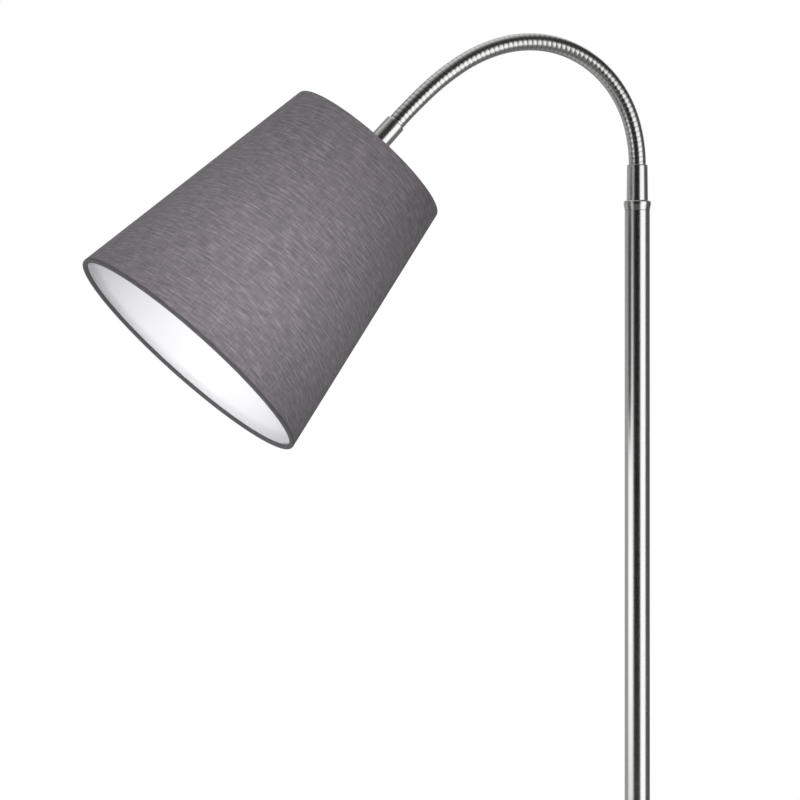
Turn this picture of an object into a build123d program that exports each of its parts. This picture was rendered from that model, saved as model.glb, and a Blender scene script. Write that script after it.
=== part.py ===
"""Gooseneck reading floor lamp: round weighted base, two-piece pole, ribbed bendable neck, cone shade.

Millimetres. The origin is the middle of the base's underside, on the floor, with +Z up.
The neck arches over in the XZ plane and carries the shade towards -X.
"""

import os
from math import cos, pi, radians, sin

from build123d import *

# Clearances ---------------------------------------------------------------------------------------
FIT = 0.05                      # radial room of a pressed, glued or screwed fit
HINGE_GAP = 1.4                 # from a bending point of the inner coil to each coil length beside it
SIDE_HINGE_GAP = 1.0            # the same at a point where the neck bends sideways
OVERCUT = 1.0                   # how far a cutting form reaches past the face that it opens

# Base ---------------------------------------------------------------------------------------------
BASE_DIAMETER = 240.0
PAD_THICKNESS = 3.0
PAD_INSET = 7.0                 # from the rim of the base to the rim of the pad
WEIGHT_HEIGHT = 14.0
WEIGHT_ROOM = 1.5               # between the weight's rim and the cover's skirt
COVER_WALL = 1.0
COVER_EDGE_RADIUS = 6.0
EDGE_STEPS = 3                  # cones in the cover's rounded rim
COVER_LIFT = 1.5                # the cover's skirt ends this far above the floor
RECESS_DIAMETER = 44.0          # under the weight, for washer and nut
RECESS_DEPTH = 9.5
CORD_GROOVE_ROOM = 0.5          # on each side of the cord inlet, in the groove under the weight

# Cord inlet ---------------------------------------------------------------------------------------
BUSHING_DIAMETER = 8.0
BUSHING_FLANGE = 10.5
BUSHING_BORE = 5.6
BUSHING_LENGTH = 12.0
BUSHING_LIP = 2.0
BUSHING_BEVEL = 1.0

# Hollow threaded rods and their nuts --------------------------------------------------------------
STUD_DIAMETER = 10.0
STUD_BORE = 7.5
WASHER_DIAMETER = 30.0
WASHER_THICKNESS = 2.0
NUT_ACROSS_FLATS = 17.0
NUT_THICKNESS = 4.0

# Pole ---------------------------------------------------------------------------------------------
POLE_DIAMETER = 19.0
POLE_WALL = 1.2
POLE_SECTION = 630.0            # length of each of the two tubes
PLUG_LENGTH = 16.0              # threaded plugs pressed into the tubes' ends
FOOT_DIAMETER = 38.0
FOOT_TOP_DIAMETER = 25.0
FOOT_HEIGHT = 15.0
FOOT_FLOOR = 3.0                # the foot collar's floor, under the pole's end
FOOT_EDGE = 2.0                 # height of its straight edge on the cover
COLLAR_DIAMETER = 20.6          # ring on top of the pole
COLLAR_HEIGHT = 7.0
COLLAR_FLARE = 4.2              # height over which the ring widens from the pole's width
COLLAR_BEVEL = 0.8

# Neck ---------------------------------------------------------------------------------------------
FERRULE_LENGTH = 27.0
FERRULE_DIAMETER = 16.2         # at its foot
FERRULE_MOUTH_DIAMETER = 15.5
FERRULE_GRIP = 14.0             # length of neck held inside a ferrule
FERRULE_SHOULDER = 0.8          # rounding of the mouth
NECK_DIAMETER = 13.0
NECK_LENGTH = 263.0             # between the ferrules' mouths
NECK_TURNS = (17.0, 22.0, 23.5, 24.0, 21.0, 16.0, 9.5, 4.4)   # degrees turned in each eighth
RIB_COUNT = 69
RIB_DEPTH = 0.35
CASING_BORE = 10.3
BORE_STEPS = 3                  # straight lengths of bore in each eighth of the neck
COIL_DIAMETER = 8.1             # inner round-wire coil
COIL_BORE = 5.4
SIDE_HINGES = (1, 4, 7)         # coil lengths, counted from the pole, that also bend sideways halfway

# Lampholder and bulb, measured along the head's axis ----------------------------------------------
NIPPLE_REACH = 8.0              # of the hollow rods into ferrule, cap or plug
HOLDER_NECK_DIAMETER = 18.0
HOLDER_DIAMETER = 40.0
HOLDER_WALL = 2.0
HOLDER_THREAD_DIAMETER = 38.0   # threaded end of the skirt, for the ring nut
CAP_HEIGHT = 18.0
CAP_NECK = 3.0                  # straight threaded neck on top of the cap
CAP_DOME = 6.0                  # height of the cone between neck and side
SHELL_LENGTH = 37.0
SHELL_FLANGE_DIAMETER = 43.5
SHELL_FLANGE_AT = 10.0          # from the shell's top edge to the flange's top
SHELL_FLANGE = 2.5
INSERT_LENGTH = 15.0
SCREW_SHELL_LENGTH = 21.0
SCREW_SHELL_WALL = 0.5
SCREW_SHELL_ROOM = 0.2          # around the bulb's cap
CONTACT_THICKNESS = 0.6
RING_NUT_DIAMETER = 52.0
RING_NUT_HEIGHT = 7.0
BULB_CAP_DIAMETER = 26.4
BULB_CAP_LENGTH = 24.0
BULB_CAP_WALL = 0.8
BULB_DIAMETER = 60.0
BULB_LENGTH = 108.0             # from the tip of its contact to the end of the glass
BULB_NECK_DIAMETER = 30.0
GLOBE_STEPS = 4                 # cones in the ball of the bulb
GLASS = 1.0
BULB_CONTACT_DIAMETER = 9.0
BULB_CONTACT_HEIGHT = 2.5

# Shade --------------------------------------------------------------------------------------------
SHADE_TOP_DIAMETER = 136.0
SHADE_MOUTH_DIAMETER = 206.0
SHADE_HEIGHT = 204.0
SHADE_START = 4.0               # from the upper ferrule's foot to the plane of the shade's top rim
FABRIC = 0.8
LINING = 0.5
HEM = 5.0                       # fabric folded to the inside at each rim
WIRE = 3.0                      # both wire rings, and the arms
ARM_KNEE = 5.0                  # from the top hem's edge down to the bend of each arm
FITTER_RING = 1.5               # thickness of the ring on the lampholder
FITTER_RING_DIAMETER = 56.0

# Heights that follow ------------------------------------------------------------------------------
weight_foot = PAD_THICKNESS
weight_top = weight_foot + WEIGHT_HEIGHT
cover_top = weight_top + COVER_WALL
bushing_height = weight_foot + BUSHING_DIAMETER / 2 + FIT
pole_foot = cover_top + FOOT_FLOOR
pole_joint = pole_foot + POLE_SECTION
pole_top = pole_joint + POLE_SECTION
ferrule_foot = pole_top + COLLAR_HEIGHT
neck_start = ferrule_foot + FERRULE_LENGTH
pole_bore = POLE_DIAMETER - 2 * POLE_WALL
arc_length = NECK_LENGTH / len(NECK_TURNS)

# Distances along the head's axis, from the upper ferrule's mouth ----------------------------------
shade_top = FERRULE_LENGTH + SHADE_START
shade_mouth = shade_top + SHADE_HEIGHT
cap_end = FERRULE_LENGTH + CAP_HEIGHT
shell_end = cap_end + SHELL_LENGTH
flange_end = cap_end + SHELL_FLANGE_AT + SHELL_FLANGE
insert_end = cap_end + INSERT_LENGTH - HOLDER_WALL
bulb_tip = insert_end + CONTACT_THICKNESS
bulb_end = bulb_tip + BULB_LENGTH


# Shared ways of making a form ---------------------------------------------------------------------
def turned(points):
    """A turned piece: the outline's (radius, height) points spun about the Z axis."""
    outline = Polyline(*[(r, 0, z) for r, z in points], close=True)
    return revolve(make_face(outline), Axis.Z, 360)


def shoulder(rim, top, radius, steps):
    """Outline points of a rounded outer edge, from its side up to its top, in equal cone-shaped steps."""
    angles = [radians(90) * step / steps for step in range(steps + 1)]
    return [(rim - radius + radius * cos(a), top - radius + radius * sin(a)) for a in angles]


def tube(outer, inner, low, high):
    """A straight round tube from one height to another, outer and inner being diameters."""
    return turned([(inner / 2, low), (outer / 2, low), (outer / 2, high), (inner / 2, high)])


def rod(diameter, low, high):
    """A straight round bar from one height to another."""
    return turned([(0, low), (diameter / 2, low), (diameter / 2, high), (0, high)])


# The neck's line ----------------------------------------------------------------------------------
def neck_point(along):
    """The point of the neck's middle line at a distance from the lower ferrule's mouth, and its heading."""
    x, z, heading = 0.0, neck_start, radians(90)
    if along <= 0:
        return Vector(0, 0, z + along), Vector(0, 0, 1)
    left = along
    for turn in NECK_TURNS:
        run = min(left, arc_length)
        radius = arc_length / radians(turn)
        after = heading + run / radius
        x += radius * (sin(after) - sin(heading))
        z += radius * (cos(heading) - cos(after))
        heading = after
        left -= run
    ahead = Vector(cos(heading), 0, sin(heading))
    return Vector(x, 0, z) + ahead * left, ahead


def neck_hinge(arc):
    """The bending point of one arc of the neck, halfway between the arc and its tangents' corner."""
    middle, ahead = neck_point((arc + 0.5) * arc_length)
    turn = radians(NECK_TURNS[arc])
    sagitta = arc_length / turn * (1 / cos(turn / 2) - 1)
    outward = Vector(ahead.Z, 0, -ahead.X)
    return middle + outward * sagitta / 2


def across_neck(along):
    """A plane square to the neck at a distance along it."""
    centre, ahead = neck_point(along)
    return Plane(origin=centre, x_dir=(0, 1, 0), z_dir=ahead)


def ring_on(plane, radius):
    """A circle on a plane, as a wire for a loft."""
    return (plane * Circle(radius)).face().outer_wire()


neck_end, head_ahead = neck_point(NECK_LENGTH)
head = Plane(origin=neck_end, x_dir=(0, 1, 0), z_dir=head_ahead)
hinges = [neck_hinge(arc) for arc in range(len(NECK_TURNS))]


# Base ---------------------------------------------------------------------------------------------
def floor_pad():
    """Foam disc that the lamp stands on, glued under the weight last, over the nut."""
    return rod(BASE_DIAMETER - 2 * PAD_INSET, 0, PAD_THICKNESS)


def base_weight():
    """Cast disc with a recess for the nut and a groove for the cord, under its flat top."""
    rim = BASE_DIAMETER / 2 - COVER_WALL - WEIGHT_ROOM
    hole = STUD_DIAMETER / 2 + FIT
    recess = RECESS_DIAMETER / 2
    disc = turned([
        (hole, weight_foot + RECESS_DEPTH), (recess, weight_foot + RECESS_DEPTH), (recess, weight_foot),
        (rim, weight_foot), (rim, weight_top - COVER_EDGE_RADIUS), (rim - COVER_EDGE_RADIUS, weight_top),
        (hole, weight_top),
    ])
    groove_top = bushing_height + BUSHING_DIAMETER / 2 + CORD_GROOVE_ROOM
    groove = Box(rim, BUSHING_DIAMETER + 2 * CORD_GROOVE_ROOM, 2 * (groove_top - weight_foot))
    return disc - Pos((rim + recess) / 2, 0, weight_foot) * groove


def base_cover():
    """Spun cover with a rounded rim, resting on the weight and notched at the back for the cord inlet."""
    rim = BASE_DIAMETER / 2
    hole = STUD_DIAMETER / 2 + FIT
    outside = shoulder(rim, cover_top, COVER_EDGE_RADIUS, EDGE_STEPS)
    inside = shoulder(rim - COVER_WALL, weight_top, COVER_EDGE_RADIUS - COVER_WALL, EDGE_STEPS)
    lip = [(rim - COVER_WALL, COVER_LIFT), (rim, COVER_LIFT)]
    shell = turned(lip + outside + [(hole, cover_top), (hole, weight_top)] + inside[::-1])
    notch = Cylinder(BUSHING_DIAMETER / 2 + FIT, BUSHING_LENGTH)
    return shell - Pos(rim, 0, bushing_height) * Rot(0, 90, 0) * notch


def cord_bushing():
    """Gland in the cover's skirt with the bore that the cord enters by."""
    rim = BASE_DIAMETER / 2
    inner = BUSHING_LENGTH - BUSHING_LIP
    bore, neck, flange = BUSHING_BORE / 2, BUSHING_DIAMETER / 2, BUSHING_FLANGE / 2
    body = turned([
        (bore, -inner), (neck, -inner), (neck, 0), (flange, 0), (flange - BUSHING_BEVEL, BUSHING_LIP),
        (bore, BUSHING_LIP),
    ])
    return Pos(rim, 0, bushing_height) * Rot(0, 90, 0) * body


def base_washer():
    """Broad washer between nut and weight."""
    top = weight_foot + RECESS_DEPTH
    return tube(WASHER_DIAMETER, STUD_DIAMETER + 2 * FIT, top - WASHER_THICKNESS, top)


def base_nut():
    """Hexagon nut that pulls pole, cover and weight together."""
    top = weight_foot + RECESS_DEPTH - WASHER_THICKNESS
    across_corners = NUT_ACROSS_FLATS / cos(pi / 6)
    outline = RegularPolygon(across_corners / 2, 6) - Circle(STUD_DIAMETER / 2 + FIT)
    return Pos(0, 0, top - NUT_THICKNESS) * extrude(outline, NUT_THICKNESS)


def base_stud():
    """Hollow threaded rod from the nut, through weight, cover and foot, into the pole."""
    return tube(STUD_DIAMETER, STUD_BORE, weight_foot, pole_foot + NIPPLE_REACH)


def pole_foot_collar():
    """Cone-shaped collar that the pole stands in."""
    hole = STUD_DIAMETER / 2 + FIT
    socket = POLE_DIAMETER / 2 + FIT
    foot, top = FOOT_DIAMETER / 2, FOOT_TOP_DIAMETER / 2
    return turned([
        (hole, cover_top), (foot, cover_top), (foot, cover_top + FOOT_EDGE), (top, cover_top + FOOT_HEIGHT),
        (socket, cover_top + FOOT_HEIGHT), (socket, pole_foot), (hole, pole_foot),
    ])


# Pole ---------------------------------------------------------------------------------------------
def pole_tube(low):
    """One of the pole's two equal tubes."""
    return tube(POLE_DIAMETER, pole_bore, low, low + POLE_SECTION)


def pole_plug(low):
    """Plug with a threaded hole, pressed into an end of a tube."""
    return tube(pole_bore - 2 * FIT, STUD_DIAMETER + 2 * FIT, low, low + PLUG_LENGTH)


def pole_joint_plug():
    """Plug in the top of the lower tube, with the hollow threaded stud that the upper tube screws onto."""
    plug, stud, bore = pole_bore / 2 - FIT, STUD_DIAMETER / 2, STUD_BORE / 2
    return turned([
        (bore, pole_joint - PLUG_LENGTH), (plug, pole_joint - PLUG_LENGTH), (plug, pole_joint),
        (stud, pole_joint), (stud, pole_joint + NIPPLE_REACH), (bore, pole_joint + NIPPLE_REACH),
    ])


def pole_top_collar():
    """Ring that finishes the top of the pole, drawn in to the pole's width at its foot."""
    rim, foot = COLLAR_DIAMETER / 2, POLE_DIAMETER / 2
    hole = STUD_DIAMETER / 2 + FIT
    return turned([
        (hole, pole_top), (foot, pole_top), (rim, pole_top + COLLAR_FLARE),
        (rim, ferrule_foot - COLLAR_BEVEL), (rim - COLLAR_BEVEL, ferrule_foot), (hole, ferrule_foot),
    ])


def neck_nipple():
    """Hollow threaded rod that screws ferrule, collar and pole together."""
    return tube(STUD_DIAMETER, STUD_BORE, pole_top - NIPPLE_REACH, ferrule_foot + NIPPLE_REACH)


# Neck ---------------------------------------------------------------------------------------------
def ferrule():
    """Tapered sleeve with its mouth at height 0 and its threaded foot below, rounded at the mouth."""
    hole = STUD_DIAMETER / 2 + FIT
    grip = NECK_DIAMETER / 2 + FIT
    foot, mouth = FERRULE_DIAMETER / 2, FERRULE_MOUTH_DIAMETER / 2
    return turned([
        (hole, -FERRULE_LENGTH), (foot, -FERRULE_LENGTH), (mouth, -FERRULE_SHOULDER),
        (mouth - FERRULE_SHOULDER, 0), (grip, 0), (grip, -FERRULE_GRIP), (hole, -FERRULE_GRIP),
    ])


def gooseneck_casing():
    """Ribbed outer winding, gripped by both ferrules: a ruled loft with a crest and a groove to each rib."""
    crest = NECK_DIAMETER / 2
    pitch = NECK_LENGTH / RIB_COUNT
    rings = [ring_on(across_neck(-FERRULE_GRIP), crest), ring_on(across_neck(-pitch / 2), crest)]
    for rib in range(RIB_COUNT):
        rings.append(ring_on(across_neck(rib * pitch), crest - RIB_DEPTH))
        rings.append(ring_on(across_neck((rib + 0.5) * pitch), crest))
    rings.append(ring_on(across_neck(NECK_LENGTH), crest - RIB_DEPTH))
    rings.append(ring_on(across_neck(NECK_LENGTH + pitch / 2), crest))
    rings.append(ring_on(across_neck(NECK_LENGTH + FERRULE_GRIP), crest))
    outside = Solid.make_loft(rings, ruled=True)

    bore = CASING_BORE / 2
    step = arc_length / BORE_STEPS
    stations = [i * step for i in range(len(NECK_TURNS) * BORE_STEPS + 1)]
    stations = [-FERRULE_GRIP - OVERCUT] + stations + [NECK_LENGTH + FERRULE_GRIP + OVERCUT]
    inside = Solid.make_loft([ring_on(across_neck(s), bore) for s in stations], ruled=True)
    return outside - inside


def coil_length(start, end, gap_start, gap_end):
    """A straight length of the inner coil between two points, short of each by its gap."""
    ahead = (end - start).normalized()
    length = (end - start).length
    plane = Plane(origin=start, x_dir=(0, 1, 0), z_dir=ahead)
    return plane * tube(COIL_DIAMETER, COIL_BORE, gap_start, length - gap_end)


def neck_coil_foot():
    """End of the inner coil that is fixed in the lower ferrule."""
    start, _ = neck_point(-FERRULE_GRIP)
    return coil_length(start, hinges[0], 0, HINGE_GAP)


def neck_coil_head():
    """End of the inner coil that is fixed in the upper ferrule."""
    end, _ = neck_point(NECK_LENGTH + FERRULE_GRIP)
    return coil_length(hinges[-1], end, HINGE_GAP, 0)


def neck_coils():
    """The lengths of inner coil between the bending points, named from the pole to the head."""
    coils = []
    for number in range(1, len(hinges)):
        start, end = hinges[number - 1], hinges[number]
        if number in SIDE_HINGES:
            middle = (start + end) / 2
            coils.append(coil_length(start, middle, HINGE_GAP, SIDE_HINGE_GAP))
            coils.append(coil_length(middle, end, SIDE_HINGE_GAP, HINGE_GAP))
        else:
            coils.append(coil_length(start, end, HINGE_GAP, HINGE_GAP))
    return coils


# Head: lampholder and bulb, made along +Z from the upper ferrule's mouth --------------------------
def ferrule_upper():
    """The sleeve turned round, with its mouth towards the neck."""
    return Rot(180, 0, 0) * ferrule()


def holder_nipple():
    """Hollow threaded rod between ferrule and lampholder."""
    return tube(STUD_DIAMETER, STUD_BORE, FERRULE_LENGTH - NIPPLE_REACH, FERRULE_LENGTH + NIPPLE_REACH)


def lampholder_cap():
    """Domed cap with the threaded neck that the holder hangs by."""
    hole = STUD_DIAMETER / 2 + FIT
    neck, wide = HOLDER_NECK_DIAMETER / 2, HOLDER_DIAMETER / 2
    ceiling = FERRULE_LENGTH + NIPPLE_REACH
    return turned([
        (hole, FERRULE_LENGTH), (neck, FERRULE_LENGTH), (neck, FERRULE_LENGTH + CAP_NECK),
        (wide, FERRULE_LENGTH + CAP_NECK + CAP_DOME), (wide, cap_end), (wide - HOLDER_WALL, cap_end),
        (wide - HOLDER_WALL, ceiling + HOLDER_WALL), (neck, ceiling), (hole, ceiling),
    ])


def lampholder_shell():
    """Skirt with the flange that the shade's ring rests against."""
    wide, thread, flange = HOLDER_DIAMETER / 2, HOLDER_THREAD_DIAMETER / 2, SHELL_FLANGE_DIAMETER / 2
    inside = wide - HOLDER_WALL
    return turned([
        (inside, cap_end), (wide, cap_end), (wide, flange_end - SHELL_FLANGE),
        (flange, flange_end - SHELL_FLANGE), (flange, flange_end), (thread, flange_end),
        (thread, shell_end), (inside, shell_end),
    ])


def lampholder_insert():
    """Ceramic block that carries the contacts, held in the holder's top."""
    outer = HOLDER_DIAMETER / 2 - HOLDER_WALL - FIT
    return rod(2 * outer, insert_end - INSERT_LENGTH, insert_end)


def screw_shell():
    """Screw shell around the bulb's cap, standing on the ceramic block."""
    inner = BULB_CAP_DIAMETER + 2 * SCREW_SHELL_ROOM
    return tube(inner + 2 * SCREW_SHELL_WALL, inner, insert_end, insert_end + SCREW_SHELL_LENGTH)


def centre_contact():
    """Contact plate under the bulb's tip."""
    return rod(BULB_CONTACT_DIAMETER, insert_end, bulb_tip)


def shade_ring_nut():
    """Threaded ring that clamps the shade's frame to the holder's flange."""
    low = flange_end + FITTER_RING
    return tube(RING_NUT_DIAMETER, HOLDER_THREAD_DIAMETER + 2 * FIT, low, low + RING_NUT_HEIGHT)


def bulb_cap():
    """Screw cap of the bulb, a thin metal cup."""
    low, high = bulb_tip + BULB_CONTACT_HEIGHT, bulb_tip + BULB_CAP_LENGTH
    outer = BULB_CAP_DIAMETER / 2
    inner = outer - BULB_CAP_WALL
    return turned([
        (0, low), (outer, low), (outer, high), (inner, high), (inner, low + BULB_CAP_WALL),
        (0, low + BULB_CAP_WALL),
    ])


def bulb_contact():
    """Tip of the bulb's cap."""
    return rod(BULB_CONTACT_DIAMETER, bulb_tip, bulb_tip + BULB_CONTACT_HEIGHT)


def bulb_globe():
    """Opal glass, open at the cap: a ball, in cone-shaped steps, that runs into a narrow neck."""
    low = bulb_tip + BULB_CAP_LENGTH
    centre = bulb_end - BULB_DIAMETER / 2

    def side(inset):
        ball = BULB_DIAMETER / 2 - inset
        angles = [radians(-30 + 120 * step / GLOBE_STEPS) for step in range(GLOBE_STEPS + 1)]
        steps = [(ball * cos(angle), centre + ball * sin(angle)) for angle in angles[:-1]]
        return [(BULB_NECK_DIAMETER / 2 - inset, low)] + steps + [(0, centre + ball)]

    return turned(side(0) + side(GLASS)[::-1])


# Head: shade --------------------------------------------------------------------------------------
shade_slope = (SHADE_MOUTH_DIAMETER - SHADE_TOP_DIAMETER) / 2 / SHADE_HEIGHT


def shade_radius(along, inset):
    """The cone's radius at a distance along the axis, a distance inwards from its outer face."""
    slant = (1 + shade_slope ** 2) ** 0.5
    return SHADE_TOP_DIAMETER / 2 + shade_slope * (along - shade_top) - inset * slant


def shade_fabric():
    """Woven cover, folded over both rims to the inside as a hem."""
    fold = FABRIC + FIT + LINING + FIT + WIRE + FIT      # from the outer face to the hem's inner layer
    top, mouth = shade_top, shade_mouth
    outline = [(shade_radius(top, 0), top), (shade_radius(mouth, 0), mouth)]
    outline += [(shade_radius(mouth, fold + FABRIC), mouth)]
    outline += [(shade_radius(mouth - HEM, fold + FABRIC), mouth - HEM)]
    outline += [(shade_radius(mouth - HEM, fold), mouth - HEM), (shade_radius(mouth, fold), mouth - FABRIC)]
    outline += [(shade_radius(mouth - FABRIC, FABRIC), mouth - FABRIC)]
    outline += [(shade_radius(top + FABRIC, FABRIC), top + FABRIC)]
    outline += [(shade_radius(top, fold), top + FABRIC), (shade_radius(top + HEM, fold), top + HEM)]
    outline += [(shade_radius(top + HEM, fold + FABRIC), top + HEM), (shade_radius(top, fold + FABRIC), top)]
    return turned(outline)


def shade_lining():
    """White plastic cone that the fabric is glued to."""
    low, high = shade_top + FABRIC + FIT, shade_mouth - FABRIC - FIT
    skin, inner = FABRIC + FIT, FABRIC + FIT + LINING
    return turned([
        (shade_radius(low, skin), low), (shade_radius(high, skin), high),
        (shade_radius(high, inner), high), (shade_radius(low, inner), low),
    ])


def wire_ring(radius, height):
    """A ring of wire, six-sided in section."""
    points = [
        (radius + WIRE / 2 * cos(side * pi / 3), height + WIRE / 2 * sin(side * pi / 3)) for side in range(6)
    ]
    return turned(points)


wire_inset = FABRIC + FIT + LINING + FIT + WIRE / 2
top_wire_height = shade_top + FABRIC + FIT + WIRE / 2
mouth_wire_height = shade_mouth - FABRIC - FIT - WIRE / 2


def shade_mouth_wire():
    """Wire ring in the hem of the mouth."""
    return wire_ring(shade_radius(mouth_wire_height, wire_inset), mouth_wire_height)


def shade_frame():
    """Ring for the lampholder with three arms up to the wire ring in the top hem, welded together."""
    rim = shade_radius(top_wire_height, wire_inset)
    ring_low = flange_end
    hole = HOLDER_THREAD_DIAMETER + 2 * FIT
    fitter = tube(FITTER_RING_DIAMETER, hole, ring_low, ring_low + FITTER_RING)
    frame = wire_ring(rim, top_wire_height) + fitter
    knee_height = shade_top + HEM + ARM_KNEE
    inner = Vector(FITTER_RING_DIAMETER / 2 - WIRE / 2, 0, ring_low)
    knee = Vector(shade_radius(knee_height, wire_inset), 0, knee_height)
    path = Polyline(inner, knee, Vector(rim, 0, top_wire_height))
    section = Plane(origin=inner, x_dir=(0, 1, 0), z_dir=knee - inner) * RegularPolygon(WIRE / 2, 6)
    arm = sweep(section, path=path, transition=Transition.RIGHT)
    for number in range(3):
        frame += Rot(0, 0, 120 * number) * arm
    return frame


# All pieces ---------------------------------------------------------------------------------------
def all_pieces():
    """Every piece by its name, where it is in the lamp."""
    pieces = {
        "floor_pad": floor_pad(),
        "base_weight": base_weight(),
        "base_cover": base_cover(),
        "cord_bushing": cord_bushing(),
        "base_washer": base_washer(),
        "base_nut": base_nut(),
        "base_stud": base_stud(),
        "pole_foot_collar": pole_foot_collar(),
        "pole_lower": pole_tube(pole_foot),
        "pole_foot_plug": pole_plug(pole_foot),
        "pole_joint_plug": pole_joint_plug(),
        "pole_joint_socket": pole_plug(pole_joint),
        "pole_upper": pole_tube(pole_joint),
        "pole_top_plug": pole_plug(pole_top - PLUG_LENGTH),
        "pole_top_collar": pole_top_collar(),
        "neck_nipple": neck_nipple(),
        "ferrule_lower": Pos(0, 0, neck_start) * ferrule(),
        "gooseneck_casing": gooseneck_casing(),
        "neck_coil_foot": neck_coil_foot(),
        "neck_coil_head": neck_coil_head(),
    }
    for number, coil in enumerate(neck_coils(), start=1):
        pieces[f"neck_coil_{number:02d}"] = coil
    on_head = (
        ferrule_upper, holder_nipple, lampholder_cap, lampholder_shell, lampholder_insert, screw_shell,
        centre_contact, shade_ring_nut, bulb_cap, bulb_contact, bulb_globe, shade_fabric, shade_lining,
        shade_mouth_wire, shade_frame,
    )
    for make in on_head:
        pieces[make.__name__] = head * make()
    return pieces


def print_neck():
    """The bending points, for the joints."""
    for number, hinge in enumerate(hinges, start=1):
        print("hinge", number, [round(v, 4) for v in hinge])
    print("head", [round(v, 4) for v in neck_end], [round(v, 5) for v in head_ahead])


os.makedirs("parts", exist_ok=True)
for name, piece in all_pieces().items():
    export_step(piece, f"parts/{name}.step")
print_neck()
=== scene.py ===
"""Looks of a gooseneck reading floor lamp: satin nickel stand, ribbed neck and a grey cloth shade.

Metres. The origin is the middle of the base's underside, and the neck arches over towards -X.
"""
from math import cos, pi, radians, sin

import bmesh
import bpy
import numpy as np
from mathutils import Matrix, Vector


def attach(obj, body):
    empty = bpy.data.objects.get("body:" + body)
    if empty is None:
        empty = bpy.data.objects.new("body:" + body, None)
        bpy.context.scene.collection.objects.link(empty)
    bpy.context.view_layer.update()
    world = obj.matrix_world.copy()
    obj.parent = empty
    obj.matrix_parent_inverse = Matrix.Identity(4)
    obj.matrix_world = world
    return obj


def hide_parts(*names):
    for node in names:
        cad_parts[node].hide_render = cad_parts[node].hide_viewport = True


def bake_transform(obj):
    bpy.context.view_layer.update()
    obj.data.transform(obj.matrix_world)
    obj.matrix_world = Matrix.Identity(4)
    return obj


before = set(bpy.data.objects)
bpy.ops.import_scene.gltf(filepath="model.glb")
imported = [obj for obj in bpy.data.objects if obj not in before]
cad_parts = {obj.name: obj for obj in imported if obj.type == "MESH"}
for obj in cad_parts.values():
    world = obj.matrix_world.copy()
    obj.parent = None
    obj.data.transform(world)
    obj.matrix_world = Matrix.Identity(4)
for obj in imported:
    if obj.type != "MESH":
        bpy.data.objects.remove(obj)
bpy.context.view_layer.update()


# The photograph's view ----------------------------------
# A level camera, a little to the left of the lamp's front, looking at a point between shade and pole.
# The square frame shows the upper half of the lamp.
VIEW_BEARING = radians(-15.3)  # from the lamp's front, negative to its left
VIEW_MIDDLE = np.array([-0.1718, 0.0470, 1.1384])
VIEW_WIDTH = 0.6004  # of the frame, at its middle
VIEW_DISTANCE = 4.2

to_camera = np.array([sin(VIEW_BEARING), -cos(VIEW_BEARING), 0.0])
to_right = np.array([cos(VIEW_BEARING), sin(VIEW_BEARING), 0.0])

scene = bpy.context.scene
scene.view_settings.view_transform = "Standard"
lens = bpy.data.cameras.new("front_camera")
lens.lens = lens.sensor_width * VIEW_DISTANCE / VIEW_WIDTH
camera = bpy.data.objects.new("front_camera", lens)
camera.location = VIEW_MIDDLE + VIEW_DISTANCE * to_camera
camera.rotation_euler = Vector(to_camera).to_track_quat("Z", "Y").to_euler()
scene.collection.objects.link(camera)
scene.camera = camera


# Shader expressions -------------------------------------
# What varies over a surface is written as an expression on Value, and every other node is added by Finish.
class Value:
    """A number that varies over a surface. The operators add Math nodes, with a Value or a plain number on
    the other side."""

    def __init__(self, tree, socket):
        self.tree = tree
        self.socket = socket

    def math(self, operation, *numbers, clamp=False):
        node = self.tree.nodes.new("ShaderNodeMath")
        node.operation = operation
        node.use_clamp = clamp
        for place, number in zip(node.inputs, numbers):
            if isinstance(number, Value):
                self.tree.links.new(number.socket, place)
            else:
                place.default_value = number
        return Value(self.tree, node.outputs[0])

    def __add__(self, other):
        return self.math("ADD", self, other)

    def __sub__(self, other):
        return self.math("SUBTRACT", self, other)

    def __rsub__(self, other):
        return self.math("SUBTRACT", other, self)

    def __mul__(self, other):
        return self.math("MULTIPLY", self, other)

    def __truediv__(self, other):
        return self.math("DIVIDE", self, other)

    __radd__ = __add__
    __rmul__ = __mul__

    def sine(self):
        return self.math("SINE", self)

    def larger(self, other):
        return self.math("MAXIMUM", self, other)

    def clamped(self):
        return self.math("ADD", self, 0.0, clamp=True)

    def above(self, low, high):
        """0 below low, 1 above high and a straight rise between."""
        return ((self - low) / (high - low)).clamped()


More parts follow.
